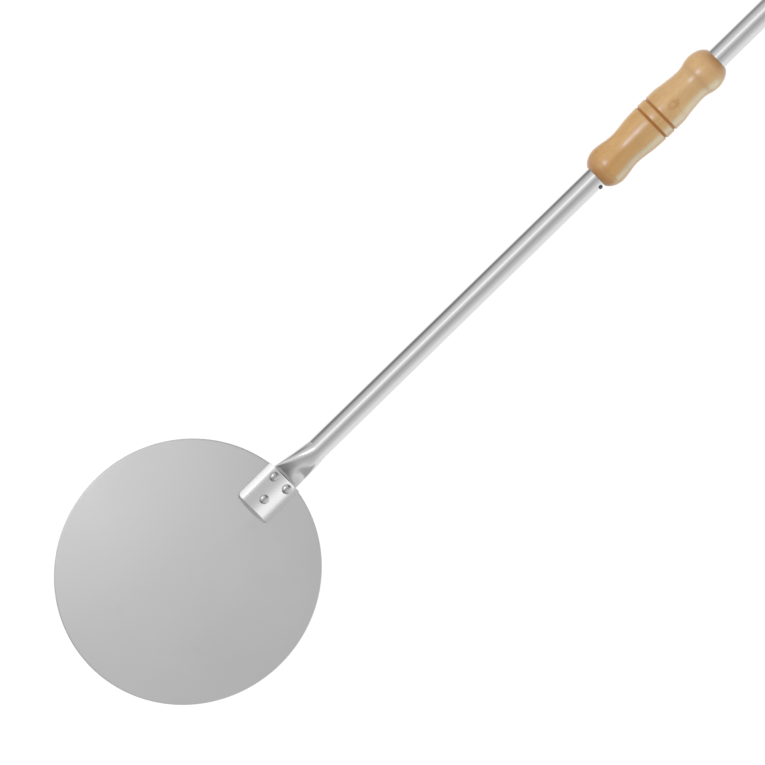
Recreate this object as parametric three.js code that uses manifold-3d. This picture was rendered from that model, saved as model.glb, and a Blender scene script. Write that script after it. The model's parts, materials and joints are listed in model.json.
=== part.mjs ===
// Round turning pizza peel: a steel disc blade, a round tube pole whose pressed-flat end is riveted
// to the blade under a saddle bracket, a turned wooden grip that slides and spins on the pole, and
// a fixed rear grip. Millimetres, +Z up. The origin is the centre of the blade's underside, and +X
// runs along the pole, away from the blade.

import * as THREE from 'three';
import { mergeVertices } from 'three/addons/utils/BufferGeometryUtils.js';
import Module from 'manifold-3d';

const wasm = await Module();
wasm.setup();

// Driving dimensions. Places along the pole are distances from the blade's centre.
const GAP = 0.15; // between pieces that lie on each other
const BLADE = { radius: 115, thickness: 1, rimBevel: 1.6, rimThickness: 0.6, sides: 96 };
const TUBE = { radius: 9.5, wall: 1, sides: 28, rearEnd: 1030 };
const NECK = { bend: 115.5, halfWidth: 13.3, halfHeight: 1.2, length: 36, step: 12 };
const TUBE_TIP = { start: 82, corner: 4 };
const BRACKET = { poleEdge: 114.5, length: 41.3, halfWidth: 18, slope: 6, height: 4.6, sheet: 1 };
const BRACKET_NOSE = { corner: 1, bulge: 2, squash: 0.5 };
const RIVET = { headRadius: 4.5, headHeight: 2, shankRadius: 2, tailRadius: 2.8, holeRadius: 2.3 };
const RIVET_PLACES = { rivet_front: [88.9, 0], rivet_left: [108.4, 7.6], rivet_right: [108.4, -7.6] };
const GRIP = { front: 479.5, length: 142.5, boreRadius: 10.4, bulb: 15, bulbRadius: 18.1, sides: 30 };
const GRIP_GROOVES = [65.6, 75.7];
const ROUNDED_END = [[0, 12.1], [2, 13.2], [5, 15.7], [9, 17.4]]; // [distance, radius]
const GROOVE = { halfWidth: 1.5, depth: 1.4, swell: 18.5 };
const BUSH = { innerRadius: 9.8, outerRadius: 10.9, length: 12, recess: 0.4, fit: 0.3 };
const REAR_GRIP = { front: 935, length: 150, boreRadius: 9.8, boreDepth: 96 };
const REAR_GRIP_GROOVES = [80, 90];
const HANGING_HOLE = { radius: 4.5, distance: 130 };
const STOP_SCREW = { place: 476.3, turn: 50, headRadius: 1.7, headTop: 11.2, shankRadius: 1.2 };
const GRIP_SCREW = { distance: 34, turn: 180, headRadius: 3.5, headTop: 15.6, shankRadius: 1.6 };
const SCREW_TIP = 6.6; // how near a screw's tip comes to the pole's axis
const SCREW_FIT = 0.3;
const SMALL_SIDES = 20;

// Heights that follow from the stack of blade, flattened tube end and bracket sheet.
const POLE_UNDERSIDE = 0.1;
const FLAT_UNDERSIDE = BLADE.thickness + GAP;
const BRACKET_FOOT = BLADE.thickness + GAP;
const RIVET_SEAT = BRACKET_FOOT + BRACKET.height + GAP;

// The pole rises just enough for the sliding grip's front bulb to rest on the ground with the blade.
const BULB_LIFT = GRIP.bulbRadius + 0.1 - POLE_UNDERSIDE - TUBE.radius;
const POLE_RISE = Math.atan2(BULB_LIFT, GRIP.front + GRIP.bulb - NECK.bend);

const SATIN_STEEL = { color: 0xbababa, roughness: 0.42, metalness: 1 };
const POLISHED_STEEL = { color: 0xc9c9c8, roughness: 0.2, metalness: 1 };
const DARK_STEEL = { color: 0x47434f, roughness: 0.45, metalness: 0.8 };
const BEECH = { color: 0xc9a273, roughness: 0.45, metalness: 0 };
const NYLON = { color: 0x2a2523, roughness: 0.6, metalness: 0 };

// Booleans: three.js geometry in, manifold solids inside, three.js geometry out.
function solidOf(geometry) {
  const bare = geometry.clone();
  bare.deleteAttribute('normal');
  bare.deleteAttribute('uv');
  const merged = mergeVertices(bare, 1e-4);
  const vertProperties = new Float32Array(merged.attributes.position.array);
  const triVerts = new Uint32Array(merged.index.array);
  return new wasm.Manifold(new wasm.Mesh({ numProp: 3, vertProperties, triVerts }));
}

function geometryOf(solid) {
  const mesh = solid.getMesh();
  const geometry = new THREE.BufferGeometry();
  geometry.setAttribute('position', new THREE.BufferAttribute(mesh.vertProperties, 3));
  geometry.setIndex(new THREE.BufferAttribute(mesh.triVerts, 1));
  geometry.computeVertexNormals();
  return geometry;
}

function cut(geometry, ...tools) {
  return geometryOf(tools.reduce((solid, tool) => solid.subtract(solidOf(tool)), solidOf(geometry)));
}

// A turned solid about +Z from [height, radius] points that close on the axis or on themselves.
function turned(points, sides) {
  const profile = points.map(([height, radius]) => new THREE.Vector2(radius, height));
  return new THREE.LatheGeometry(profile, sides).rotateX(Math.PI / 2);
}

// The same solid laid along +X, as the pole's pieces lie.
function turnedAlong(points, sides) {
  return turned(points, sides).rotateY(Math.PI / 2);
}

function cylinder(radius, from, to) {
  return turned([[from, 0], [from, radius], [to, radius], [to, 0]], SMALL_SIDES);
}

// Blade and rivets.
function atRivets(makeGeometry) {
  return Object.values(RIVET_PLACES).map(([x, y]) => makeGeometry().translate(x, y, 0));
}

function rivetHole() {
  return cylinder(RIVET.holeRadius, -5, 10);
}

function tailSink() {
  const mouth = RIVET.tailRadius + 0.5;
  const slope = [[0, mouth], [BLADE.thickness, RIVET.holeRadius]];
  return turned([[-1, 0], [-1, mouth], ...slope, [BLADE.thickness, 0]], SMALL_SIDES);
}

function bladeGeometry() {
  const { radius, thickness, rimBevel, rimThickness, sides } = BLADE;
  const rim = [[0, radius], [rimThickness, radius], [thickness, radius - rimBevel]];
  const disc = turned([[0, 0], ...rim, [thickness, 0]], sides);
  return cut(disc, ...atRivets(tailSink), ...atRivets(rivetHole));
}

function rivetGeometry() {
  const { headRadius, headHeight, shankRadius, tailRadius } = RIVET;
  const tail = 0.1;
  const domeRadius = (headRadius ** 2 + headHeight ** 2) / (2 * headHeight);
  const domeCentre = RIVET_SEAT + headHeight - domeRadius;
  const edgeAngle = Math.asin(headRadius / domeRadius);
  const arcSteps = 6;
  const dome = Array.from({ length: arcSteps + 1 }, (_, step) => {
    const angle = edgeAngle * (1 - step / arcSteps);
    return [domeCentre + domeRadius * Math.cos(angle), domeRadius * Math.sin(angle)];
  });
  const shank = [[tail, 0], [tail, tailRadius], [BLADE.thickness, shankRadius], [RIVET_SEAT, shankRadius]];
  return turned([...shank, ...dome], SMALL_SIDES);
}

// Saddle bracket: a sloped cap pressed from sheet, open towards the pole.
// In a sloped block the top outline is inset from the foot outline by the slope. The block is made
// too long and then squashed along X, so that its nose is steeper than its sides.
function slopedBlock(front, halfWidth, slope, height) {
  const { corner, bulge, squash } = BRACKET_NOSE;
  const back = 140;
  const side = halfWidth - slope;
  const nose = slope;
  const shoulder = nose + bulge;
  const outline = new THREE.Shape();
  outline.moveTo(back, -side);
  outline.lineTo(back, side);
  outline.lineTo(shoulder + corner, side);
  outline.quadraticCurveTo(shoulder, side, shoulder, side - corner);
  outline.quadraticCurveTo(nose - bulge, 0, shoulder, corner - side);
  outline.quadraticCurveTo(shoulder, -side, shoulder + corner, -side);
  const bevel = { bevelThickness: height, bevelSize: slope, bevelSegments: 1 };
  const depth = 2;
  const block = new THREE.ExtrudeGeometry(outline, { depth, ...bevel, curveSegments: 6 });
  return block.scale(squash, 1, 1).translate(front, 0, -depth);
}

function bracketGeometry() {
  const { poleEdge, length, halfWidth, slope, height, sheet } = BRACKET;
  const front = poleEdge - length;
  const inset = sheet * Math.hypot(slope, height) / height;
  const noseInset = sheet * Math.hypot(slope * BRACKET_NOSE.squash, height) / height;
  const innerHeight = height - sheet;
  const innerSlope = slope * innerHeight / height;
  const outer = slopedBlock(front, halfWidth, slope, height);
  const inner = slopedBlock(front + noseInset, halfWidth - inset, innerSlope, innerHeight);
  const below = new THREE.BoxGeometry(200, 100, 20).translate(poleEdge, 0, -10);
  const behind = new THREE.BoxGeometry(100, 100, 60).translate(poleEdge + 50, 0, 0);
  return cut(outer, inner, below, behind, ...atRivets(rivetHole));
}

// Pole tube: a round tube whose front end is pressed flat, wider than the tube, and lies on the
// blade. The pole's pieces are built in its own frame, which starts at the bend on the underside.
function onPole(fromBladeCentre) {
  return fromBladeCentre - NECK.bend;
}

// The tube's section at a distance along the pole from the bend: it swells quickly and narrows
// slowly, as pressing keeps its girth, and stays flat on top while its underside steps down behind
// the blade's edge.
function tubeSection(distance) {
  const { lerp, clamp, smoothstep } = THREE.MathUtils;
  const flatness = 1 - clamp(distance / NECK.length, 0, 1);
  const swelling = 1 - flatness ** 1.6;
  const trim = Math.max(0, TUBE_TIP.corner - (distance - onPole(TUBE_TIP.start)));
  const step = FLAT_UNDERSIDE - POLE_UNDERSIDE;
  const lift = step * (1 - smoothstep(distance, 0, NECK.step));
  return {
    halfWidth: lerp(TUBE.radius, NECK.halfWidth, flatness) - trim,
    halfHeight: lerp(NECK.halfHeight, TUBE.radius, swelling) + (step * flatness - lift) / 2,
    lift,
    roundness: lerp(0.4, 1, swelling ** 2),
  };
}

// A cylinder whose rows are moved to the stations and shaped to the section there.
function tubeLoft(stations, inset) {
  const rows = stations.length - 1;
  const geometry = new THREE.CylinderGeometry(1, 1, 1, TUBE.sides, rows);
  const position = geometry.attributes.position;
  for (let index = 0; index < position.count; index += 1) {
    const distance = stations[Math.round((position.getY(index) + 0.5) * rows)];
    const { halfWidth, halfHeight, lift, roundness } = tubeSection(distance);
    const squared = (value) => Math.sign(value) * Math.abs(value) ** roundness;
    const across = squared(position.getZ(index)) * (halfWidth - inset);
    const up = squared(position.getX(index)) * (halfHeight - inset) + halfHeight + lift;
    const turn = distance < 0 ? POLE_RISE : 0;
    const along = distance * Math.cos(turn) + up * Math.sin(turn);
    position.setXYZ(index, along, across, up * Math.cos(turn) - distance * Math.sin(turn));
  }
  return geometry;
}

function screwHole({ shankRadius, turn }, distance) {
  const hole = cylinder(shankRadius + SCREW_FIT, TUBE.radius - 3, TUBE.radius + 2);
  return hole.rotateX(THREE.MathUtils.degToRad(turn)).translate(distance, 0, TUBE.radius);
}

function tubeGeometry() {
  const neckSteps = 12;
  const neck = Array.from({ length: neckSteps + 1 }, (_, step) => step * NECK.length / neckSteps);
  const tip = onPole(TUBE_TIP.start);
  const rearEnd = onPole(TUBE.rearEnd);
  const outer = tubeLoft([tip, tip + TUBE_TIP.corner, ...neck, rearEnd], 0);
  const inner = tubeLoft([...neck.slice(1), rearEnd + 10], TUBE.wall);
  const level = new THREE.Matrix4().makeRotationY(POLE_RISE);
  const rivetHoles = atRivets(rivetHole).map((hole) => hole.translate(onPole(0), 0, 0).applyMatrix4(level));
  const gripScrewHole = screwHole(GRIP_SCREW, onPole(REAR_GRIP.front) + GRIP_SCREW.distance);
  return cut(outer, inner, ...rivetHoles, gripScrewHole, screwHole(STOP_SCREW, onPole(STOP_SCREW.place)));
}

// Screws stand on the pole's axis, turned about it, with a slot across the head.
function slottedScrew(profile, { headRadius, headTop, turn }, slotWidth, slotDepth) {
  const slot = new THREE.BoxGeometry(slotWidth, 2 * headRadius + 1, 2 * slotDepth).translate(0, 0, headTop);
  return cut(turned(profile, SMALL_SIDES), slot).rotateX(THREE.MathUtils.degToRad(turn));
}

function stopScrewGeometry() {
  const { headRadius, headTop, shankRadius } = STOP_SCREW;
  const seat = TUBE.radius + 0.1;
  const shank = [[SCREW_TIP, 0], [SCREW_TIP, shankRadius], [seat, shankRadius], [seat, headRadius]];
  const head = [[headTop - 0.6, headRadius], [headTop - 0.1, headRadius - 0.5], [headTop, 0]];
  return slottedScrew([...shank, ...head], STOP_SCREW, 0.5, 0.5);
}

function gripScrewGeometry() {
  const { headRadius, headTop, shankRadius } = GRIP_SCREW;
  const shank = [[SCREW_TIP, 0], [SCREW_TIP + 1.5, shankRadius], [headTop - 1.8, shankRadius]];
  const head = [[headTop - 0.3, headRadius], [headTop, headRadius], [headTop, 0]];
  return slottedScrew([...shank, ...head], GRIP_SCREW, 0.8, 0.8);
}

function gripScrewSink() {
  const { headRadius, headTop, shankRadius, distance, turn } = GRIP_SCREW;
  const clearance = shankRadius + SCREW_FIT;
  const mouth = headRadius + SCREW_FIT;
  const neck = [[8, 0], [8, clearance], [headTop - 1.8 - SCREW_FIT, clearance]];
  const seat = [[headTop - 0.3 - SCREW_FIT, mouth], [20, mouth], [20, 0]];
  const sink = turned([...neck, ...seat], SMALL_SIDES);
  return sink.rotateX(THREE.MathUtils.degToRad(turn)).translate(distance, 0, 0);
}

// Turned grips: smooth curves through a few [distance, radius] points, with V grooves between them.
function smoothRun(points, steps) {
  const curve = new THREE.SplineCurve(points.map((point) => new THREE.Vector2(...point)));
  return curve.getPoints(steps).map((point) => point.toArray());
}

// A front run and a rear run, with two V grooves and the raised band between them.
function groovedOutline(frontRun, [front, rear], rearRun) {
  const { halfWidth, depth, swell } = GROOVE;
  const steps = 14;
  return [
    ...smoothRun([...frontRun, [front - halfWidth, swell]], steps),
    [front, swell - depth],
    [front + halfWidth, swell],
    [rear - halfWidth, swell],
    [rear, swell - depth],
    ...smoothRun([[rear + halfWidth, swell], ...rearRun], steps),
  ];
}

function sliderOutline() {
  const { length, bulb, bulbRadius } = GRIP;
  const front = [...ROUNDED_END, [bulb, bulbRadius], [34, 15.9], [52, 17.8]];
  const roundedRear = ROUNDED_END.map(([distance, radius]) => [length - distance, radius]).reverse();
  const rear = [[92, 17.7], [111, 15.6], [length - bulb, bulbRadius], ...roundedRear];
  return groovedOutline(front, GRIP_GROOVES, rear);
}

function sliderGripGeometry() {
  const { length, boreRadius, sides } = GRIP;
  const seatRadius = BUSH.outerRadius + BUSH.fit;
  const seatDepth = BUSH.recess + BUSH.length + BUSH.fit;
  const rearSeat = [[length, seatRadius], [length - seatDepth, seatRadius]];
  const bore = [[length - seatDepth, boreRadius], [seatDepth, boreRadius]];
  const frontSeat = [[seatDepth, seatRadius], [0, seatRadius]];
  return turnedAlong([...sliderOutline(), ...rearSeat, ...bore, ...frontSeat, ROUNDED_END[0]], sides);
}

function bushGeometry() {
  const { innerRadius, outerRadius, length } = BUSH;
  const outside = [[0, innerRadius], [0, outerRadius], [length, outerRadius]];
  return turnedAlong([...outside, [length, innerRadius], [0, innerRadius]], GRIP.sides);
}

function rearGripOutline() {
  const { length } = REAR_GRIP;
  const front = [...ROUNDED_END, [GRIP.bulb, GRIP.bulbRadius], [36, 15.9], [60, 17.6]];
  const pommel = [[108, 16.1], [128, 18.2], [140, 16.6], [146.5, 11.5], [149.3, 5], [length, 0]];
  return groovedOutline(front, REAR_GRIP_GROOVES, pommel);
}

function rearGripGeometry() {
  const { boreRadius, boreDepth } = REAR_GRIP;
  const bore = [[boreDepth, 0], [boreDepth, boreRadius], [0, boreRadius]];
  const body = turnedAlong([...bore, ...rearGripOutline()], GRIP.sides);
  const hangingHole = cylinder(HANGING_HOLE.radius, -30, 30).rotateX(Math.PI / 2);
  return cut(body, hangingHole.translate(HANGING_HOLE.distance, 0, 0), gripScrewSink());
}

// Assembly.
function piece(name, geometry, look, x, y, z) {
  const mesh = new THREE.Mesh(geometry, new THREE.MeshStandardMaterial(look));
  mesh.name = name;
  mesh.position.set(x, y, z);
  return mesh;
}

function blade() {
  const group = new THREE.Group();
  group.add(piece('blade', bladeGeometry(), SATIN_STEEL, 0, 0, 0));
  group.add(piece('saddle_bracket', bracketGeometry(), SATIN_STEEL, 0, 0, BRACKET_FOOT));
  for (const [name, [x, y]] of Object.entries(RIVET_PLACES)) {
    group.add(piece(name, rivetGeometry(), POLISHED_STEEL, x, y, 0));
  }
  return group;
}

function pole() {
  const group = new THREE.Group();
  group.position.set(NECK.bend, 0, POLE_UNDERSIDE);
  group.rotation.y = -POLE_RISE;
  const onAxis = (name, geometry, look, distance) => {
    group.add(piece(name, geometry, look, distance, 0, TUBE.radius));
  };
  const gripFront = onPole(GRIP.front);
  const rearGripFront = onPole(REAR_GRIP.front);
  group.add(piece('pole_tube', tubeGeometry(), POLISHED_STEEL, 0, 0, 0));
  onAxis('stop_screw', stopScrewGeometry(), DARK_STEEL, onPole(STOP_SCREW.place));
  onAxis('slider_bush_front', bushGeometry(), NYLON, gripFront + BUSH.recess);
  onAxis('slider_bush_rear', bushGeometry(), NYLON, gripFront + GRIP.length - BUSH.recess - BUSH.length);
  onAxis('slider_grip', sliderGripGeometry(), BEECH, gripFront);
  onAxis('rear_grip', rearGripGeometry(), BEECH, rearGripFront);
  onAxis('rear_grip_screw', gripScrewGeometry(), SATIN_STEEL, rearGripFront + GRIP_SCREW.distance);
  return group;
}

const peel = new THREE.Group();
peel.add(blade(), pole());

export default peel;
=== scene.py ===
import json
import math

import bmesh
import bpy
from mathutils import Matrix, Vector


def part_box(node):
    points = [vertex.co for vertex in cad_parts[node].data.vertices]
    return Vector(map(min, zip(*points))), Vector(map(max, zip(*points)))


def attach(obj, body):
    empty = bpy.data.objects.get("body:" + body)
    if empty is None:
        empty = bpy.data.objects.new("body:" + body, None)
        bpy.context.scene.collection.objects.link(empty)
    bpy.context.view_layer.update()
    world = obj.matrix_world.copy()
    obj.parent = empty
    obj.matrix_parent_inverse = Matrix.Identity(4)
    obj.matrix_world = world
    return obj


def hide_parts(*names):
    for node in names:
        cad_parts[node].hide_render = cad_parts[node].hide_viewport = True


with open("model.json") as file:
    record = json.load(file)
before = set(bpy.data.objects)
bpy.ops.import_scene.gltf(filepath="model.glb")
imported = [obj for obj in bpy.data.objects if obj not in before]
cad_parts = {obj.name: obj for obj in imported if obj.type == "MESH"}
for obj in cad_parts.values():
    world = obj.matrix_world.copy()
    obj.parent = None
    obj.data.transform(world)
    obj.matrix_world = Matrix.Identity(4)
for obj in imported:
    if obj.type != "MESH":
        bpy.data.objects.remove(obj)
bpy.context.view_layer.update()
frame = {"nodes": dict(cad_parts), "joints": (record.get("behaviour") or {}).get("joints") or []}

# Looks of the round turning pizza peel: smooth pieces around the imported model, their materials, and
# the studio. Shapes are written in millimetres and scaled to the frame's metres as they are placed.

MM = 0.001
JOINTS = {joint["name"]: joint for joint in frame["joints"]}


# ---------------------------------------------------------------- camera

PHOTO_WIDTH = 0.6456  # metres seen across the frame
CAMERA_DISTANCE = 9.0
CAMERA_TILT = math.radians(15.8)  # how far the view leans off the blade's normal
CAMERA_TURN = math.radians(-1.1)  # where it leans to: from +Y towards +X
POLE_SLANT = math.radians(44.31)  # the pole's angle in the picture
LOOK_AT = 0.2293  # the point of the pole nearest mid picture, from the blade's centre
LOOK_ASIDE = 0.0017  # and how far mid picture is beside it


def pole_frame():
    """The pole's own frame: X along its axis, Y across, origin on the axis over the blade's centre."""
    spin = JOINTS["slider_spin"]
    along = Vector(spin["axis"]).normalized()
    up = along.cross(Vector((0, 1, 0)))
    point = Vector(spin["pos_m"])
    origin = point - along * (point.x / along.x)
    return Matrix((along, (0, 1, 0), up)).transposed().to_4x4(), origin


POLE_TURN, POLE_ORIGIN = pole_frame()
POLE = Matrix.Translation(POLE_ORIGIN) @ POLE_TURN


def make_camera():
    """A long lens over the blade, leaning to one side, with the pole slanting across the picture."""
    lean = math.sin(CAMERA_TILT)
    towards = Vector((lean * math.sin(CAMERA_TURN), lean * math.cos(CAMERA_TURN), math.cos(CAMERA_TILT)))
    pole = POLE_TURN.col[0].to_3d()
    pole_seen = (pole - towards * pole.dot(towards)).normalized()
    across_seen = towards.cross(pole_seen)
    right = pole_seen * math.cos(POLE_SLANT) - across_seen * math.sin(POLE_SLANT)
    turn = Matrix((right, towards.cross(right), towards)).transposed().to_4x4()
    target = POLE @ Vector((LOOK_AT, 0, 0)) + across_seen * LOOK_ASIDE
    data = bpy.data.cameras.new("camera")
    data.sensor_width = 36
    data.lens = data.sensor_width * CAMERA_DISTANCE / PHOTO_WIDTH
    data.clip_end = 50
    camera = bpy.data.objects.new("camera", data)
    camera.matrix_world = Matrix.Translation(target + towards * CAMERA_DISTANCE) @ turn
    bpy.context.scene.collection.objects.link(camera)
    bpy.context.scene.camera = camera


# ---------------------------------------------------------------- meshes

def ease(value):
    """A smooth step from 0 to 1."""
    t = min(max(value, 0.0), 1.0)
    return t * t * (3 - 2 * t)


def mesh_piece(name, points, faces, place, sharp_from=35):
    """A smooth-shaded object from points in millimetres, placed by a matrix in metres."""
    mesh = bpy.data.meshes.new(name)
    mesh.from_pydata([tuple(point) for point in points], [], faces)
    mesh.transform(place @ Matrix.Scale(MM, 4))
    form = bmesh.new()
    form.from_mesh(mesh)
    bmesh.ops.remove_doubles(form, verts=form.verts, dist=1e-7)
    bmesh.ops.recalc_face_normals(form, faces=form.faces)
    form.to_mesh(mesh)
    form.free()
    mesh.shade_smooth()
    mesh.set_sharp_from_angle(angle=math.radians(sharp_from))
    piece = bpy.data.objects.new(name, mesh)
    bpy.context.scene.collection.objects.link(piece)
    return piece


def ring_faces(first, second):
    """Quads between two rings of point numbers, or triangles where one ring is a single point."""
    count = max(len(first), len(second))
    faces = []
    for i in range(count):
        j = (i + 1) % count
        corners = [first[i % len(first)], first[j % len(first)]]
        corners += [second[j % len(second)], second[i % len(second)]]
        faces.append(list(dict.fromkeys(corners)))
    return faces


def turned(name, profile, sides, place, **shade):
    """A solid turned about X from [distance, radius] points, from axis to axis or round to the start."""
    points, rings = [], []
    for distance, radius in profile:
        steps = 1 if radius == 0 else sides
        rings.append(list(range(len(points), len(points) + steps)))
        for i in range(steps):
            angle = 2 * math.pi * i / sides
            points.append((distance, radius * math.cos(angle), radius * math.sin(angle)))
    if profile[0][1] > 0:
        rings.append(rings[0])
    faces = [face for first, second in zip(rings, rings[1:]) for face in ring_faces(first, second)]
    return mesh_piece(name, points, faces, place, **shade)


def smooth_run(points, steps=6):
    """Points on a Catmull-Rom curve through the given ones, a few to each span."""
    given = [Vector(point) for point in points]
    given = [2 * given[0] - given[1], *given, 2 * given[-1] - given[-2]]
    run = []
    for a, b, c, d in zip(given, given[1:], given[2:], given[3:]):
        for i in range(steps):
            t = i / steps
            square = 2 * a - 5 * b + 4 * c - d
            cube = 3 * b - 3 * c + d - a
            run.append(tuple(0.5 * (2 * b + t * (c - a) + t * t * square + t ** 3 * cube)))
    return run + [tuple(points[-1])]


def cut(piece, *tools):
    """Cuts the tools out of the piece, removes them, and clears slivers out of what is left."""
    for tool in tools:
        boolean = piece.modifiers.new("cut", "BOOLEAN")
        boolean.operation = "DIFFERENCE"
        boolean.solver = "EXACT"
        boolean.object = tool
    graph = bpy.context.evaluated_depsgraph_get()
    mesh = bpy.data.meshes.new_from_object(piece.evaluated_get(graph))
    piece.modifiers.clear()
    piece.data = mesh
    for tool in tools:
        bpy.data.objects.remove(tool)
    form = bmesh.new()
    form.from_mesh(piece.data)
    bmesh.ops.remove_doubles(form, verts=form.verts, dist=1e-6)
    bmesh.ops.dissolve_degenerate(form, edges=form.edges, dist=1e-6)
    form.to_mesh(piece.data)
    form.free()
    piece.data.set_sharp_from_angle(angle=math.radians(35))


def finish_piece(piece, material, slot, body, *nodes):
    """Gives a piece its material and body, and hides the CAD nodes it stands for. The slot is not used."""
    piece.data.materials.clear()
    piece.data.materials.append(material)
    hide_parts(*nodes)
    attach(piece, body)


# ---------------------------------------------------------------- materials

class Surface:
    """A procedural material built around one Principled shader."""

    def __init__(self, name, **sockets):
        self.material = bpy.data.materials.new(name)
        self.material.use_nodes = True
        self.tree = self.material.node_tree
        self.shader = self.tree.nodes["Principled BSDF"]
        for socket, value in sockets.items():
            self.shader.inputs[socket.replace("_", " ")].default_value = value
        self.place = self.tree.nodes.new("ShaderNodeTexCoord").outputs["Object"]

    def node(self, kind, inputs=(), **settings):
        node = self.tree.nodes.new(kind)
        for name, value in settings.items():
            setattr(node, name, value)
        for name, value in dict(inputs).items():
            if isinstance(value, bpy.types.NodeSocket):
                self.tree.links.new(value, node.inputs[name])
            else:
                node.inputs[name].default_value = value
        return node

    def noise(self, per_metre, detail=3, roughness=0.5, offset=0.0):
        """Noise from 0 to 1, with a separate number of features per metre along X, Y and Z."""
        inputs = {"Vector": self.place, "Scale": per_metre, "Location": (offset,) * 3}
        scaled = self.node("ShaderNodeMapping", inputs).outputs[0]
        inputs = {"Vector": scaled, "Scale": 1.0, "Detail": detail, "Roughness": roughness}
        return self.node("ShaderNodeTexNoise", inputs).outputs["Fac"]

    def spread(self, value, low, high, start=0.0, end=1.0):
        """Maps low..high to start..end, clamped."""
        inputs = {"Value": value, "From Min": low, "From Max": high, "To Min": start, "To Max": end}
        return self.node("ShaderNodeMapRange", inputs).outputs["Result"]

    def maths(self, operation, *values):
        return self.node("ShaderNodeMath", enumerate(values), operation=operation).outputs[0]

    def vector_maths(self, operation, *values):
        return self.node("ShaderNodeVectorMath", enumerate(values), operation=operation).outputs

    def facing(self, axis):
        """How far the surface faces along the object's X, Y or Z, either way."""
        normal = self.node("ShaderNodeTexCoord").outputs["Normal"]
        return self.maths("ABSOLUTE", self.node("ShaderNodeSeparateXYZ", {0: normal}).outputs[axis])

    def blend(self, factor, first, second):
        """Colour between two colours, or two colour sockets."""
        inputs = {0: factor, 6: first, 7: second}
        return self.node("ShaderNodeMix", inputs, data_type="RGBA").outputs[2]

    def knot(self, centre, reach):
        """A small ragged ring of darker grain round a point, drawn out along X."""
        ragged = self.noise((420, 420, 420), detail=2, offset=17.0)
        centred = self.vector_maths("SUBTRACT", self.place, centre)[0]
        scaled = self.vector_maths("MULTIPLY", centred, (0.6 / reach, 1 / reach, 1 / reach))[0]
        away = self.maths("ADD", self.vector_maths("LENGTH", scaled)["Value"], ragged)
        ring = self.maths("ABSOLUTE", self.maths("SUBTRACT", away, 1.1))
        return self.spread(ring, 0.12, 0.4, 1.0, 0.0)

    def feed(self, socket, value):
        self.tree.links.new(value, self.shader.inputs[socket])

    def bump(self, height, millimetres, strength=1.0):
        inputs = {"Height": height, "Distance": millimetres * MM, "Strength": strength}
        self.feed("Normal", self.node("ShaderNodeBump", inputs).outputs["Normal"])


def grey(value):
    return (value, value, value, 1)


def satin_steel():
    """Sheet steel with a fine satin grain, faint handling marks and a few soft smudges."""
    steel = Surface("satin_steel", Metallic=1.0)
    grain = steel.noise((900, 2600, 900), detail=4, roughness=0.65)
    cloud = steel.noise((14, 14, 14), detail=4, offset=3.0)
    smudge = steel.noise((38, 24, 30), detail=2, offset=11.0)
    mark = steel.spread(smudge, 0.66, 0.78)
    tone = steel.blend(steel.spread(cloud, 0.3, 0.7), grey(0.68), grey(0.70))
    tone = steel.blend(steel.spread(grain, 0.3, 0.7, 0.0, 0.35), tone, grey(0.74))
    tone = steel.blend(steel.maths("MULTIPLY", mark, 0.15), tone, grey(0.5))
    steel.feed("Base Color", tone)
    dull = steel.spread(cloud, 0.3, 0.7, 0.42, 0.48)
    steel.feed("Roughness", steel.maths("ADD", steel.spread(grain, 0.2, 0.8, -0.05, 0.05), dull))
    steel.bump(grain, 0.02, 0.35)
    return steel.material


def pressed_steel():
    """The bracket's sheet: brighter and smoother than the blade, with painted shade darkening its sloped
    sides.
    """
    steel = Surface("pressed_steel", Metallic=1.0)
    grain = steel.noise((700, 2200, 700), detail=4, roughness=0.6, offset=5.0)
    dent = steel.noise((110, 130, 110), detail=2, offset=2.0)
    # Painted shade: the colour is darker wherever the sheet faces sideways, on both sloped sides.
    painted_slope_shade = steel.spread(steel.facing("Y"), 0.22, 0.5)
    tone = steel.blend(steel.spread(grain, 0.25, 0.75), grey(0.88), grey(0.96))
    steel.feed("Base Color", steel.blend(painted_slope_shade, tone, grey(0.52)))
    steel.feed("Roughness", steel.spread(grain, 0.2, 0.8, 0.23, 0.31))
    height = steel.maths("ADD", steel.maths("MULTIPLY", dent, 6.0), grain)
    steel.bump(height, 0.012, 0.35)
    return steel.material


def polished_steel():
    """Drawn tube: near mirror, with hairlines along it and duller patches where it has been handled."""
    steel = Surface("polished_steel", Metallic=1.0)
    hairline = steel.noise((9, 2400, 2400), detail=3, roughness=0.7)
    patch = steel.noise((16, 60, 60), detail=3, offset=7.0)
    speck = steel.spread(steel.noise((420, 700, 700), detail=2, offset=4.0), 0.7, 0.78)
    tone = steel.blend(steel.spread(hairline, 0.3, 0.7), grey(0.74), grey(0.80))
    steel.feed("Base Color", steel.blend(steel.maths("MULTIPLY", speck, 0.3), tone, grey(0.45)))
    dull = steel.spread(patch, 0.35, 0.7, 0.09, 0.16)
    steel.feed("Roughness", steel.maths("ADD", dull, steel.spread(hairline, 0.3, 0.8, 0.0, 0.03)))
    steel.bump(steel.maths("ADD", hairline, steel.maths("MULTIPLY", patch, 2.0)), 0.004, 0.4)
    return steel.material


def rivet_steel():
    """Polished rivet with small scuffs."""
    steel = Surface("rivet_steel", Metallic=1.0)
    scuff = steel.noise((900, 900, 900), detail=4, roughness=0.7, offset=1.0)
    steel.feed("Base Color", steel.blend(steel.spread(scuff, 0.3, 0.7), grey(0.54), grey(0.66)))
    steel.feed("Roughness", steel.spread(scuff, 0.3, 0.8, 0.12, 0.24))
    steel.bump(scuff, 0.01, 0.4)
    return steel.material


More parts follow.
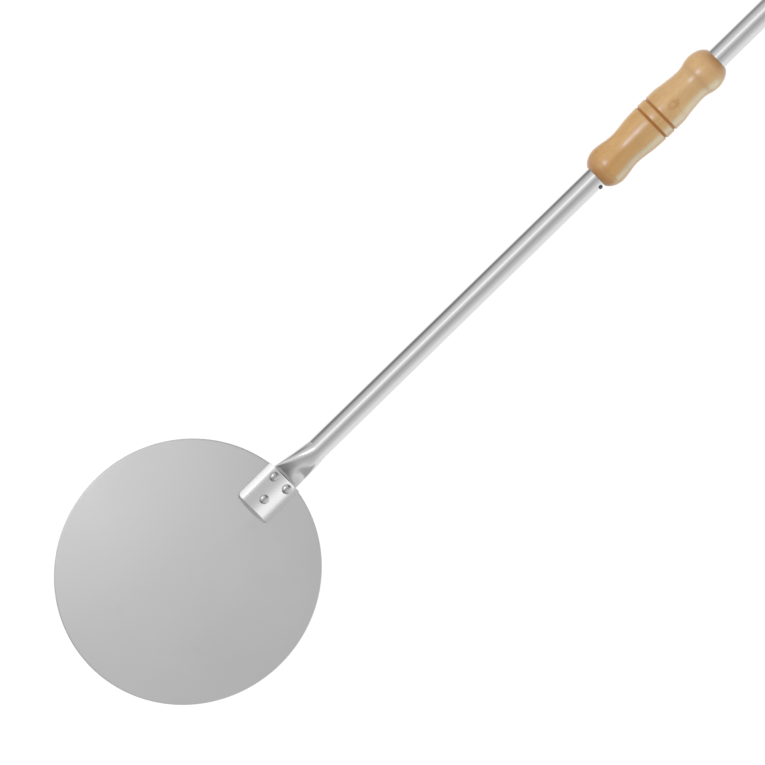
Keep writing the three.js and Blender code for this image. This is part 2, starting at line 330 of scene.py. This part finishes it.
def screw_steel():
    """Plated screw, its plating a little blotched and rubbed by the driver."""
    screw = Surface("screw_steel", Metallic=1.0)
    blotch = screw.noise((700, 700, 700), detail=4, roughness=0.65, offset=8.0)
    rubbed = screw.spread(screw.noise((2200, 2200, 2200), detail=2, offset=3.0), 0.6, 0.75)
    tone = screw.blend(screw.spread(blotch, 0.3, 0.7), (0.56, 0.55, 0.52, 1), (0.70, 0.69, 0.66, 1))
    screw.feed("Base Color", screw.blend(screw.maths("MULTIPLY", rubbed, 0.4), tone, grey(0.85)))
    screw.feed("Roughness", screw.spread(blotch, 0.3, 0.8, 0.22, 0.38))
    screw.bump(blotch, 0.01, 0.4)
    return screw.material


def dark_screw():
    """Blackened screw, worn lighter here and there."""
    screw = Surface("dark_screw", Metallic=0.85)
    wear = screw.noise((1500, 1500, 1500), detail=4, roughness=0.7)
    tone = screw.blend(screw.spread(wear, 0.6, 0.75), (0.15, 0.135, 0.18, 1), (0.30, 0.29, 0.33, 1))
    screw.feed("Base Color", tone)
    screw.feed("Roughness", screw.spread(wear, 0.3, 0.8, 0.3, 0.5))
    screw.bump(wear, 0.01, 0.5)
    return screw.material


def nylon():
    """Dark moulded plastic with a fine matt grain."""
    plastic = Surface("nylon", Specular_IOR_Level=0.4)
    grain = plastic.noise((1800, 1800, 1800), detail=3, roughness=0.6)
    plastic.feed("Base Color", plastic.blend(grain, (0.028, 0.023, 0.020, 1), (0.055, 0.046, 0.04, 1)))
    plastic.feed("Roughness", plastic.spread(grain, 0.2, 0.8, 0.45, 0.6))
    plastic.bump(grain, 0.01, 0.4)
    return plastic.material


def beech():
    """Varnished beech: rings, long pores, brown flecks, a knot, and tones that change along the pole."""
    wood = Surface("beech", Coat_Roughness=0.3, Coat_IOR=1.65)
    groove = wood.node("ShaderNodeAttribute", attribute_name="groove").outputs["Fac"]
    along = wood.node("ShaderNodeSeparateXYZ", {0: wood.place}).outputs["X"]
    figure = wood.noise((16, 60, 60), detail=4, roughness=0.55, offset=2.0)
    figure = wood.maths("ADD", figure, wood.spread(along, 0.495, 0.575, -0.14, 0.08))
    pores = wood.noise((70, 1500, 1500), detail=3, roughness=0.6)
    rings = wood.noise((5, 260, 90), detail=3, roughness=0.5, offset=9.0)
    flecks = wood.spread(wood.noise((170, 900, 900), detail=1, offset=6.0), 0.7, 0.8)
    mottle = wood.noise((130, 260, 260), detail=3, roughness=0.6, offset=13.0)
    knot = wood.knot(POLE @ Vector((0.5685, 0.003, 0.018)), 0.0042)
    # Darker, more orange where the surface faces along the pole: end grain, and painted shade for the
    # bulbs' slopes that catch less light.
    end_grain_and_shade = wood.spread(wood.facing("X"), 0.12, 0.75, 0.0, 0.8)
    paler_behind = wood.spread(along, 0.52, 0.58, 0.0, 0.25)
    deeper_in_front = wood.spread(along, 0.485, 0.515, 0.35, 0.0)
    layers = (
        (wood.spread(rings, 0.35, 0.65, 0.0, 0.4), (0.72, 0.45, 0.172, 1)),
        (wood.spread(pores, 0.35, 0.7, 0.22, 0.0), (0.34, 0.16, 0.05, 1)),
        (wood.maths("MULTIPLY", flecks, 0.5), (0.27, 0.12, 0.035, 1)),
        (wood.spread(mottle, 0.35, 0.65, 0.0, 0.22), (0.50, 0.24, 0.055, 1)),
        (paler_behind, (0.62, 0.43, 0.24, 1)),
        (deeper_in_front, (0.50, 0.22, 0.02, 1)),
        (wood.maths("MULTIPLY", knot, 0.45), (0.42, 0.16, 0.015, 1)),
        (end_grain_and_shade, (0.36, 0.15, 0.03, 1)),
        (wood.maths("MULTIPLY", groove, 0.85), (0.40, 0.15, 0.015, 1)),
    )
    tone = wood.blend(wood.spread(figure, 0.3, 0.7), (0.51, 0.25, 0.040, 1), (0.72, 0.43, 0.128, 1))
    for share, colour in layers:
        tone = wood.blend(share, tone, colour)
    wood.feed("Base Color", tone)
    wood.feed("Coat Weight", wood.spread(groove, 0.0, 1.0, 1.0, 0.15))
    wood.feed("Roughness", wood.spread(pores, 0.2, 0.8, 0.42, 0.55))
    wood.bump(pores, 0.03, 0.35)
    return wood.material


# ---------------------------------------------------------------- blade, bracket and rivets

BLADE_RADIUS = (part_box("blade")[1].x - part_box("blade")[0].x) / 2 / MM
BLADE_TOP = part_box("blade")[1].z / MM
BRACKET_LOW, BRACKET_HIGH = (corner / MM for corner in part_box("saddle_bracket"))
RIVET_NODES = ("rivet_front", "rivet_left", "rivet_right")
RIVET_RADIUS = (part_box("rivet_front")[1].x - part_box("rivet_front")[0].x) / 2 / MM
RIVET_SHANK = 2.0
RIVET_TAIL = 2.8
UPRIGHT = Matrix.Rotation(-math.pi / 2, 4, "Y")  # lays a turned piece's X axis along +Z


def centre_of(node):
    low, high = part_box(node)
    return (low + high) / 2


def at_rivet(node):
    """A matrix that stands a turned piece upright on the floor at a rivet's place."""
    centre = centre_of(node)
    return Matrix.Translation((centre.x, centre.y, 0)) @ UPRIGHT


def make_blade(material):
    """A disc, rounded at its upper edge, with three holes countersunk from below for the rivets."""
    rim = 0.35
    hole, sunk = RIVET_SHANK + 0.3, RIVET_TAIL + 0.5
    profile = [(0, 0), (0, BLADE_RADIUS - rim), (0.12, BLADE_RADIUS - 0.08), (0.3, BLADE_RADIUS)]
    profile += [(BLADE_TOP - 0.42, BLADE_RADIUS), (BLADE_TOP - 0.2, BLADE_RADIUS - 0.25)]
    profile += [(BLADE_TOP - 0.06, BLADE_RADIUS - 0.8), (BLADE_TOP, BLADE_RADIUS - 1.6), (BLADE_TOP, 0)]
    blade = turned("blade_sheet", profile, 256, UPRIGHT, sharp_from=25)
    sinks = []
    for node in RIVET_NODES:
        sink = [(-1, 0), (-1, sunk + 0.1), (0, sunk), (BLADE_TOP, hole)]
        sink += [(BLADE_TOP + 1, hole), (BLADE_TOP + 1, 0)]
        sinks.append(turned("sink", sink, 48, at_rivet(node)))
    cut(blade, *sinks)
    finish_piece(blade, material, "satin_steel", "peel", "blade")
    return blade


CAP_SHEET = 1.25
CAP_NOSE_BOW = 1.7
CAP_NOSE_CORNER = 3.8
CAP_NOSE_SLOPE = 1.75
CAP_NOSE_ROUNDING = 1.2
CAP_SIDE_SLOPE = 0.74
CAP_SIDE_CURVE = 0.02
CAP_SIDE_ROUNDING = 0.5
CAP_CROWN = 12  # how far from its middle line the dome is 1 mm lower


def smooth_least(first, second, blend):
    """The lesser of two values, rounded over where they meet."""
    return min(first, second) - max(blend - abs(first - second), 0.0) ** 2 / (4 * blend)


def bracket_nose(y):
    """Where the cap's foot lies at its nose, bowed a little and rounded off at the two corners."""
    corner = CAP_NOSE_CORNER
    over = min(max(0.0, abs(y) - (BRACKET_HIGH.y - corner)), corner)
    bow = CAP_NOSE_BOW * (y / BRACKET_HIGH.y) ** 2
    return BRACKET_LOW.x + bow + corner - math.sqrt(corner ** 2 - over ** 2)


def bracket_top(x, y):
    """Height of the cap: a low dome that rounds over into sloped sides and a steep nose."""
    rise = BRACKET_HIGH.z - BRACKET_LOW.z
    dome = rise - (y / CAP_CROWN) ** 2
    from_foot = BRACKET_HIGH.y - abs(y)
    side = CAP_SIDE_SLOPE * from_foot - CAP_SIDE_CURVE * from_foot ** 2
    nose = (x - bracket_nose(y)) * CAP_NOSE_SLOPE
    height = smooth_least(smooth_least(dome, side, CAP_SIDE_ROUNDING), nose, CAP_NOSE_ROUNDING)
    return BRACKET_LOW.z + max(0.0, height)


def make_bracket(material):
    """A cap pressed from sheet, open to the pole: an outer skin, an inner skin, and the edge between."""
    across, along = 72, 64
    half_width, back = BRACKET_HIGH.y, BRACKET_HIGH.x
    grid = []
    for i in range(across + 1):
        y = half_width * math.sin(math.pi / 2 * (2 * i / across - 1))
        nose = bracket_nose(y)
        grid.append([(nose + (back - nose) * (j / along) ** 1.6, y) for j in range(along + 1)])
    outer = [(x, y, bracket_top(x, y)) for column in grid for x, y in column]
    inner = [(x, y, max(BRACKET_LOW.z, z - CAP_SHEET)) for x, y, z in outer]
    row, skin = along + 1, len(outer)
    corners = [i * row + j for i in range(across) for j in range(along)]
    quads = [(corner, corner + 1, corner + row + 1, corner + row) for corner in corners]
    solid = [quad for quad in quads if any(outer[corner] != inner[corner] for corner in quad)]
    faces = solid + [tuple(corner + skin for corner in quad) for quad in solid]
    for i in range(across):
        corner = i * row + along
        if outer[corner] != inner[corner] or outer[corner + row] != inner[corner + row]:
            faces.append((corner, corner + row, corner + row + skin, corner + skin))
    cap = mesh_piece("bracket_cap", outer + inner, faces, Matrix.Identity(4), sharp_from=40)
    finish_piece(cap, material, "pressed_steel", "peel", "saddle_bracket")
    return cap


def make_rivet(node, material):
    """A domed head seated in the bracket's sheet, its shank, and its flush tail."""
    seat = BRACKET_HIGH.z - 0.5
    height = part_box(node)[1].z / MM - seat
    dome = (RIVET_RADIUS ** 2 + height ** 2) / (2 * height)
    edge = math.asin(RIVET_RADIUS / dome)
    profile = [(0.1, 0), (0.1, RIVET_TAIL - 0.1), (0.2, RIVET_TAIL), (BLADE_TOP, RIVET_SHANK)]
    profile += [(seat - 0.15, RIVET_SHANK), (seat - 0.15, RIVET_RADIUS - 0.2), (seat, RIVET_RADIUS)]
    steps = 12
    for i in range(1, steps):
        angle = edge * (1 - i / steps)
        profile.append((seat + height - dome + dome * math.cos(angle), dome * math.sin(angle)))
    profile.append((seat + height, 0))
    rivet = turned(node + "_head", profile, 64, at_rivet(node), sharp_from=50)
    finish_piece(rivet, material, "rivet_steel", "peel", node)
    return rivet


# ---------------------------------------------------------------- pole

def along_pole(node):
    """Where a node starts and ends along the pole, in millimetres from the blade's centre."""
    inverse = POLE.inverted()
    distances = [(inverse @ vertex.co).x / MM for vertex in frame["nodes"][node].data.vertices]
    return min(distances), max(distances)


TUBE_RADIUS = 9.5
TUBE_WALL = 1.0
TIP_START = 82.0
TIP_LENGTH = 4.0
NECK_START = 115.5
NECK_LENGTH = 36.0
NECK_SWELL = 1.6  # over 1, the neck gains height sooner than it loses width
STEP_LENGTH = 12  # the stretch past the blade's edge where the neck's underside comes down
FLAT_HALF_WIDTH = 13.3
FLAT_HALF_HEIGHT = 1.2
FLAT_CORNERS = 0.4  # the section's power where it is flat: 1 is round, and less is squarer
FLAT_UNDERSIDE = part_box("rivet_front")[0].z / MM + 1.05
POLE_UNDERSIDE = 0.1
DENT_DEPTH = 3.4
DENT_SINKS = 113
DENT_RISES = 127
DENT_SLOPE = 15
DENT_SIDE = 1.5  # the dent lies on one side of this line along the neck
DENT_WIDTH = 13


def tube_ring(distance, sides, inset=0.0):
    """One section of the tube in the blade's frame: pressed flat under the bracket, then round."""
    past = distance - NECK_START
    flat = 1 - min(max(past / NECK_LENGTH, 0.0), 1.0)
    swelling = 1 - flat ** NECK_SWELL
    half_width = TUBE_RADIUS + (FLAT_HALF_WIDTH - TUBE_RADIUS) * flat
    half_width -= max(0.0, TIP_LENGTH - (distance - TIP_START))
    step = FLAT_UNDERSIDE - POLE_UNDERSIDE
    lift = step * (1 - ease(past / STEP_LENGTH))
    half_height = FLAT_HALF_HEIGHT + (TUBE_RADIUS - FLAT_HALF_HEIGHT) * swelling + (step * flat - lift) / 2
    power = FLAT_CORNERS + (1 - FLAT_CORNERS) * swelling ** 2
    rise = math.asin(POLE_TURN.col[0][2])
    turn = rise if past > 0 else 0.0
    ring = []
    for i in range(sides):
        angle = 2 * math.pi * i / sides
        aside, above = (math.copysign(abs(v) ** power, v) for v in (math.cos(angle), math.sin(angle)))
        across = aside * (half_width - inset)
        up = above * (half_height - inset) + half_height + lift
        if above > 0:
            up -= dent(distance, across) * above
        x = NECK_START + past * math.cos(turn) - up * math.sin(turn)
        z = POLE_UNDERSIDE + past * math.sin(turn) + up * math.cos(turn)
        ring.append((x, across, z))
    return ring


def dent(distance, across):
    """How far the neck is pressed in beside the bracket, deepest at one edge of its top."""
    along = ease((distance - DENT_SINKS) / DENT_SLOPE) * (1 - ease((distance - DENT_RISES) / DENT_SLOPE))
    aside = min(max((DENT_SIDE - across) / DENT_WIDTH, 0.0), 1.0)
    return DENT_DEPTH * along * aside * ease(4 * aside)


def make_tube(material):
    """One tube: its outside from the pressed tip to the rear end, and its bore back to the neck."""
    sides = 96
    end = along_pole("pole_tube")[1]
    tip = [TIP_START + TIP_LENGTH * i / 6 for i in range(7)]
    neck = [NECK_START + NECK_LENGTH * i / 48 for i in range(49)]
    straight = [NECK_START + NECK_LENGTH + (end - NECK_START - NECK_LENGTH) * i / 24 for i in range(1, 25)]
    rings = [tube_ring(distance, sides) for distance in tip + [100.0, 112.0] + neck + straight]
    bore = [end, NECK_START + NECK_LENGTH]
    rings += [tube_ring(distance, sides, TUBE_WALL) for distance in bore]
    points = [point for ring in rings for point in ring]
    numbers = [list(range(r * sides, (r + 1) * sides)) for r in range(len(rings))]
    faces = [face for first, second in zip(numbers, numbers[1:]) for face in ring_faces(first, second)]
    faces += [numbers[0], numbers[-1]]
    tube = mesh_piece("pole_shell", points, faces, Matrix.Identity(4), sharp_from=50)
    finish_piece(tube, material, "polished_steel", "peel", "pole_tube")


# ---------------------------------------------------------------- grips and their fittings

GROOVE_HALF_WIDTH = 1.6
GROOVE_DEPTH = 1.25
SWELL_RADIUS = 18.4  # the wood's thickest place, where the grooves are
BETWEEN_GROOVES = SWELL_RADIUS + 0.05


def notch(groove, before, after):
    """A rounded V groove in an outline, down from one radius and back up to another."""
    down = [(GROOVE_HALF_WIDTH, 0), (GROOVE_HALF_WIDTH - 0.35, 0.12), (0.35, GROOVE_DEPTH - 0.12)]
    points = [(groove - away, before - deep) for away, deep in down]
    points.append((groove, before - GROOVE_DEPTH))
    return points + [(groove + away, after - deep) for away, deep in reversed(down)]


def grooved_profile(front, grooves, rear):
    """A front run and a rear run of [distance, radius] points, with two grooves between them."""
    first, second = grooves
    profile = smooth_run(front + [(first - GROOVE_HALF_WIDTH, SWELL_RADIUS)])
    profile += notch(first, SWELL_RADIUS, BETWEEN_GROOVES) + notch(second, BETWEEN_GROOVES, SWELL_RADIUS)
    return profile + smooth_run([(second + GROOVE_HALF_WIDTH, SWELL_RADIUS)] + rear)


MOUTH = 0.5  # how far in from a grip's end its rounding starts
ROUNDED_END = [(MOUTH, 11.25), (1.2, 12.1), (2.2, 13.2), (3.5, 14.4), (5.1, 15.5), (7, 16.5), (9.2, 17.25)]
BUSH_SEAT = {"radius": 11.2, "depth": 12.7}
BUSH_RADIUS = {"inside": 9.8, "outside": 10.9}
SLIDER_BORE_RADIUS = 10.4
REAR_SOCKET = {"radius": 9.8, "depth": 96}


def grip_front(bulb_radius):
    """The front of a grip's outline, from its mouth to the top of its first bulb."""
    return ROUNDED_END + [(12.3, bulb_radius), (16.5, bulb_radius + 0.1)]


def bored(profile, length):
    """Closes an outline through a bore with a bush's seat at each end."""
    radius, depth = BUSH_SEAT["radius"], BUSH_SEAT["depth"]
    inside = [(profile[-1][0], radius), (length - depth, radius), (length - depth, SLIDER_BORE_RADIUS)]
    inside += [(depth, SLIDER_BORE_RADIUS), (depth, radius), (profile[0][0], radius)]
    return profile + inside


def on_pole(distance, turn=0.0):
    """A matrix that stands a piece on the pole's axis, at a distance in millimetres, turned about it."""
    return POLE @ Matrix.Translation((distance * MM, 0, 0)) @ Matrix.Rotation(turn, 4, "X")


def stain_grooves(grip, distances):
    """Marks a grip's mesh where its grooves are cut, for the wood to be darker there."""
    inverse = POLE.inverted()
    stain = grip.data.attributes.new("groove", "FLOAT", "POINT")
    for vertex in grip.data.vertices:
        away = min(abs((inverse @ vertex.co).x / MM - distance) for distance in distances)
        stain.data[vertex.index].value = 1 - ease((away / GROOVE_HALF_WIDTH - 0.45) / 0.65)


def make_slider(material):
    """The sliding grip: a bulb, a waist, a grooved swell, a waist and a bulb, bored for its bushes."""
    start, end = along_pole("slider_grip")
    length = end - start
    front = grip_front(18.0) + [(22.5, 17.3), (29, 16.2), (35, 15.9), (42, 16.5), (52, 17.8)]
    rear = [(86.5, 18.3), (93, 17.3), (100, 16.5), (107, 15.85), (112, 15.7), (117, 16.5), (121, 17.7)]
    rear += [(125, 18.3), (129, 18.2)]
    rear += [(length - distance, radius) for distance, radius in reversed(ROUNDED_END)]
    grooves = (65.6, 75.7)
    profile = bored(grooved_profile(front, grooves, rear), length)
    grip = turned("slider_grip_wood", profile, 128, on_pole(start), sharp_from=40)
    stain_grooves(grip, [start + groove for groove in grooves])
    finish_piece(grip, material, "beech", "slider_handle", "slider_grip")
    return grip


def make_bush(node, material):
    """A plain ring, chamfered at both ends."""
    start, end = along_pole(node)
    length = end - start
    inside, outside = BUSH_RADIUS["inside"], BUSH_RADIUS["outside"]
    front = [(0.3, inside), (0, inside + 0.25), (0, outside - 0.2), (0.2, outside)]
    profile = front + [(length - distance, radius) for distance, radius in reversed(front)]
    bush = turned(node + "_ring", profile, 96, on_pole(start), sharp_from=50)
    finish_piece(bush, material, "nylon", "slider_bushes", node)


def make_rear_grip(material):
    """The end grip: a socket for the tube, a grooved swell, a pommel and a hole to hang it by."""
    start, end = along_pole("rear_grip")
    length = end - start
    front = grip_front(17.9) + [(23, 17.3), (30, 16.3), (37, 15.9), (46, 16.5), (62, 17.8)]
    pommel = [(96, 17.9), (104, 16.4), (110, 15.9), (117, 16.8), (124, 18.0), (131, 18.2), (138, 17.2)]
    pommel += [(143.5, 14.4), (147, 10.4), (149.1, 5.4)]
    radius, depth = REAR_SOCKET["radius"], REAR_SOCKET["depth"]
    grooves = (80, 90)
    profile = [(depth, 0), (depth, radius), (MOUTH, radius)] + grooved_profile(front, grooves, pommel)
    grip = turned("rear_grip_wood", profile + [(length, 0)], 128, on_pole(start), sharp_from=40)
    half_hole = [(16.4, 4.5), (17.6, 5.0), (18.6, 6.1), (30, 10), (30, 0)]
    hole = [(-distance, radius) for distance, radius in reversed(half_hole)] + half_hole
    across = on_pole(start + 130) @ Matrix.Rotation(math.pi / 2, 4, "Z")
    sink = [(8, 0), (8, 1.9), (13.5, 1.9), (15.0, 3.8), (20, 3.8), (20, 0)]
    below = on_pole(start + 34) @ Matrix.Rotation(math.pi / 2, 4, "Y")
    cut(grip, turned("hanging_hole", hole, 64, across), turned("screw_sink", sink, 48, below))
    stain_grooves(grip, [start + groove for groove in grooves])
    finish_piece(grip, material, "beech", "peel", "rear_grip")


STOP_SCREW_TURN = math.radians(50)
GRIP_SCREW_TURN = math.pi


def slotted_screw(node, profile, turn, width, length, depth):
    """A turned screw standing on the pole's axis, turned about it, with a slot cut across its head."""
    start, end = along_pole(node)
    stand = on_pole((start + end) / 2, turn) @ UPRIGHT
    screw = turned(node + "_body", profile, 48, stand, sharp_from=40)
    top = max(height for height, _ in profile)
    levels, ends, edges = (top - depth, top + 1), (-length, length), (-width / 2, width / 2)
    corners = [(x, y, z) for x in levels for y in ends for z in edges]
    sides = [(0, 1, 3, 2), (4, 5, 7, 6), (0, 1, 5, 4), (2, 3, 7, 6), (0, 2, 6, 4), (1, 3, 7, 5)]
    cut(screw, mesh_piece("slot", corners, sides, stand))
    return screw


def make_stop_screw(material):
    """A small round-headed screw, its head on the tube and its shank through the tube's wall."""
    profile = [(6.6, 0), (6.6, 1.1), (9.55, 1.2), (9.55, 1.65), (9.75, 1.7), (10.45, 1.7), (10.85, 1.52)]
    profile += [(11.08, 1.15), (11.2, 0.6), (11.2, 0)]
    screw = slotted_screw("stop_screw", profile, STOP_SCREW_TURN, width=0.55, length=3, depth=0.5)
    finish_piece(screw, material, "dark_screw", "peel", "stop_screw")


def make_grip_screw(material):
    """A countersunk screw through the rear grip's underside into the tube."""
    profile = [(6.6, 0), (8.1, 1.6), (13.8, 1.6), (15.3, 3.5), (15.55, 3.5), (15.6, 3.4), (15.6, 0)]
    screw = slotted_screw("rear_grip_screw", profile, GRIP_SCREW_TURN, width=0.8, length=4.5, depth=0.8)
    finish_piece(screw, material, "screw_steel", "peel", "rear_grip_screw")


# ---------------------------------------------------------------- studio

# Light round the pole's axis, as (degrees from overhead towards +Y, brightness), from -180 to 180.
LIGHT_ROUND_POLE = (
    (-180, 1.0), (-150, 0.98), (-120, 0.94), (-90, 0.93), (-75, 0.92), (-61, 0.84), (-49, 0.72),
    (-37, 0.64), (-26, 0.57), (-15, 0.51), (-5, 0.47), (3, 0.49), (11, 0.58), (18, 0.68), (28, 0.80),
    (42, 0.88), (54, 0.84), (66, 0.75), (80, 0.67), (94, 0.54), (107, 0.34), (122, 0.20), (138, 0.24),
    (150, 0.70), (162, 1.0), (180, 1.0),
)
LIGHT_ROUND_POLE_DARKEST = min(LIGHT_ROUND_POLE, key=lambda stop: stop[1])[0]


def light_the_room():
    """The room: bands of light round the pole's axis, a bright strip, a dark card, and dim ends."""
    world = bpy.data.worlds.new("studio")
    world.use_nodes = True
    bpy.context.scene.world = world
    nodes, links = world.node_tree.nodes, world.node_tree.links
    nodes.clear()

    def add(kind, *values, **settings):
        node = nodes.new(kind)
        for name, value in settings.items():
            setattr(node, name, value)
        for place, value in enumerate(values):
            if isinstance(value, bpy.types.NodeSocket):
                links.new(value, node.inputs[place])
            elif value is not None:
                node.inputs[place].default_value = value
        return node

    def maths(operation, *values):
        return add("ShaderNodeMath", *values, operation=operation).outputs[0]

    def spread(value, *limits):
        return add("ShaderNodeMapRange", value, *limits, interpolation_type="SMOOTHSTEP").outputs[0]

    direction = add("ShaderNodeSeparateXYZ", add("ShaderNodeTexCoord").outputs["Generated"]).outputs
    angle = maths("ARCTAN2", direction["Y"], direction["Z"])

    def off_angle(degrees):
        return maths("ABSOLUTE", maths("SUBTRACT", angle, math.radians(degrees)))

    # The bands. A colour ramp goes no higher than 1, so it holds half of each brightness.
    turn = add("ShaderNodeMapRange", angle, -math.pi, math.pi, 0.0, 1.0).outputs[0]
    band = add("ShaderNodeValToRGB", turn)
    stops = band.color_ramp.elements
    for degrees, level in LIGHT_ROUND_POLE:
        place = (degrees + 180) / 360
        stop = stops[0] if place == 0 else stops[-1] if place == 1 else stops.new(place)
        stop.color = (level / 2, level / 2, level / 2, 1)
    bands = maths("MULTIPLY", band.outputs["Color"], 2.0)

    # The strip, overhead towards +Y: strongest a little way towards -X, and gone at both ends.
    strip = spread(off_angle(40), math.radians(2), math.radians(15), 1.0, 0.0)
    strong = spread(direction["X"], -0.50, -0.37, 0.0, 1.1)
    fainter = spread(direction["X"], -0.16, -0.06, 0.0, -0.79)
    gone = spread(direction["X"], 0.04, 0.20, 0.0, -0.31)
    strip = maths("MULTIPLY", strip, maths("ADD", maths("ADD", strong, fainter), gone))

    # The darkest band is lit again wherever it isn't square to the pole.
    lift = spread(off_angle(LIGHT_ROUND_POLE_DARKEST), math.radians(8), math.radians(35), 1.0, 0.0)
    lift = maths("MULTIPLY", lift, spread(maths("ABSOLUTE", direction["X"]), 0.03, 0.11, 0.0, 0.5))

    # The card, low down towards -X and -Y.
    card = maths("MULTIPLY", spread(direction["X"], -0.25, -0.5, 0.0, 1.0),
                 spread(direction["Z"], 0.44, 0.22, 0.0, 1.0))
    card = maths("MULTIPLY", card, spread(direction["Y"], -0.10, -0.30, 0.0, 1.0))
    card = maths("SUBTRACT", 1.0, maths("MULTIPLY", card, 0.54))

    # The dim ends, beyond the blade and behind the rear grip.
    front = spread(direction["X"], -0.76, -0.92, 1.0, 0.42)
    rear = spread(direction["X"], 0.70, 0.95, 1.0, 0.25)

    shine = maths("MULTIPLY", maths("ADD", maths("ADD", bands, strip), lift), card)
    shine = maths("MULTIPLY", shine, maths("MULTIPLY", front, rear))
    side_light = maths("MULTIPLY_ADD", direction["Y"], 0.26, 0.95)
    path = add("ShaderNodeLightPath").outputs
    unseen = add("ShaderNodeMix", path["Is Diffuse Ray"], None, shine, side_light).outputs[0]
    level = add("ShaderNodeMix", path["Is Camera Ray"], None, unseen, 1.0).outputs[0]
    add("ShaderNodeOutputWorld", add("ShaderNodeBackground", level).outputs[0])


SHINE_BLUE = (0.4, 0.6, 1)
SHINE_CYAN = (0.25, 0.85, 1)


def add_lamp(name, place, aim, size, watts, lit, shine=None):
    """A soft square lamp that lights only some pieces, or only shines in them, in a colour of its own."""
    data = bpy.data.lights.new(name, "AREA")
    data.shape = "SQUARE"
    data.size = size
    data.energy = watts
    data.color = shine or (1, 1, 1)
    lamp = bpy.data.objects.new(name, data)
    lamp.location = place
    lamp.rotation_mode = "QUATERNION"
    lamp.rotation_quaternion = (Vector(aim) - Vector(place)).to_track_quat("-Z", "Y")
    lamp.visible_camera = False
    lamp.visible_diffuse = shine is None
    group = bpy.data.collections.new(name + "_lights")
    for piece in lit:
        group.objects.link(piece)
    lamp.light_linking.receiver_collection = group
    bpy.context.scene.collection.objects.link(lamp)


def make_floor():
    """A white floor that the camera sees and that lights the object from below."""
    mesh = bpy.data.meshes.new("floor")
    reach = 30
    corners = [(-reach, -reach, 0), (reach, -reach, 0), (reach, reach, 0), (-reach, reach, 0)]
    mesh.from_pydata(corners, [], [(0, 1, 2, 3)])
    floor = bpy.data.objects.new("floor", mesh)
    bpy.context.scene.collection.objects.link(floor)
    material = bpy.data.materials.new("floor_white")
    material.use_nodes = True
    shader = material.node_tree.nodes["Principled BSDF"]
    shader.inputs["Base Color"].default_value = (0.10, 0.10, 0.10, 1)
    shader.inputs["Roughness"].default_value = 1.0
    shader.inputs["Specular IOR Level"].default_value = 0.0
    shader.inputs["Emission Color"].default_value = (1, 1, 1, 1)
    shader.inputs["Emission Strength"].default_value = 0.95
    mesh.materials.append(material)
    floor.visible_glossy = False


def make_studio():
    scene = bpy.context.scene
    scene.view_settings.view_transform = "Standard"
    scene.view_settings.look = "None"
    light_the_room()
    make_floor()


# ---------------------------------------------------------------- everything

def make_peel():
    """Every piece, and the lamps that are linked to some of them."""
    wood = beech()
    tube_steel = polished_steel()
    plastic = nylon()
    rivet_look = rivet_steel()
    blade = make_blade(satin_steel())
    cap = [make_bracket(pressed_steel())] + [make_rivet(node, rivet_look) for node in RIVET_NODES]
    add_lamp("blade_lamp", (-0.03, 0.08, 0.80), (0, 0, 0), 0.3, 0.5, [blade])
    add_lamp("cap_lamp_left", (0.095, 0.62, 0.56), (0.095, 0, 0), 0.34, 0.42, cap)
    add_lamp("cap_lamp_right", (0.095, -0.37, 0.75), (0.095, 0, 0), 0.24, 0.115, cap)
    make_tube(tube_steel)
    make_stop_screw(dark_screw())
    grip = make_slider(wood)
    add_lamp("grip_shine", (0.37, 0.48, 0.66), (0.52, 0, 0), 0.15, 1.15, [grip], SHINE_BLUE)
    add_lamp("grip_rim", (0.55, -0.75, 0.10), (0.55, 0, 0), 0.55, 2.1, [grip], SHINE_CYAN)
    make_bush("slider_bush_front", plastic)
    make_bush("slider_bush_rear", plastic)
    make_rear_grip(wood)
    make_grip_screw(screw_steel())


make_camera()
make_studio()
make_peel()
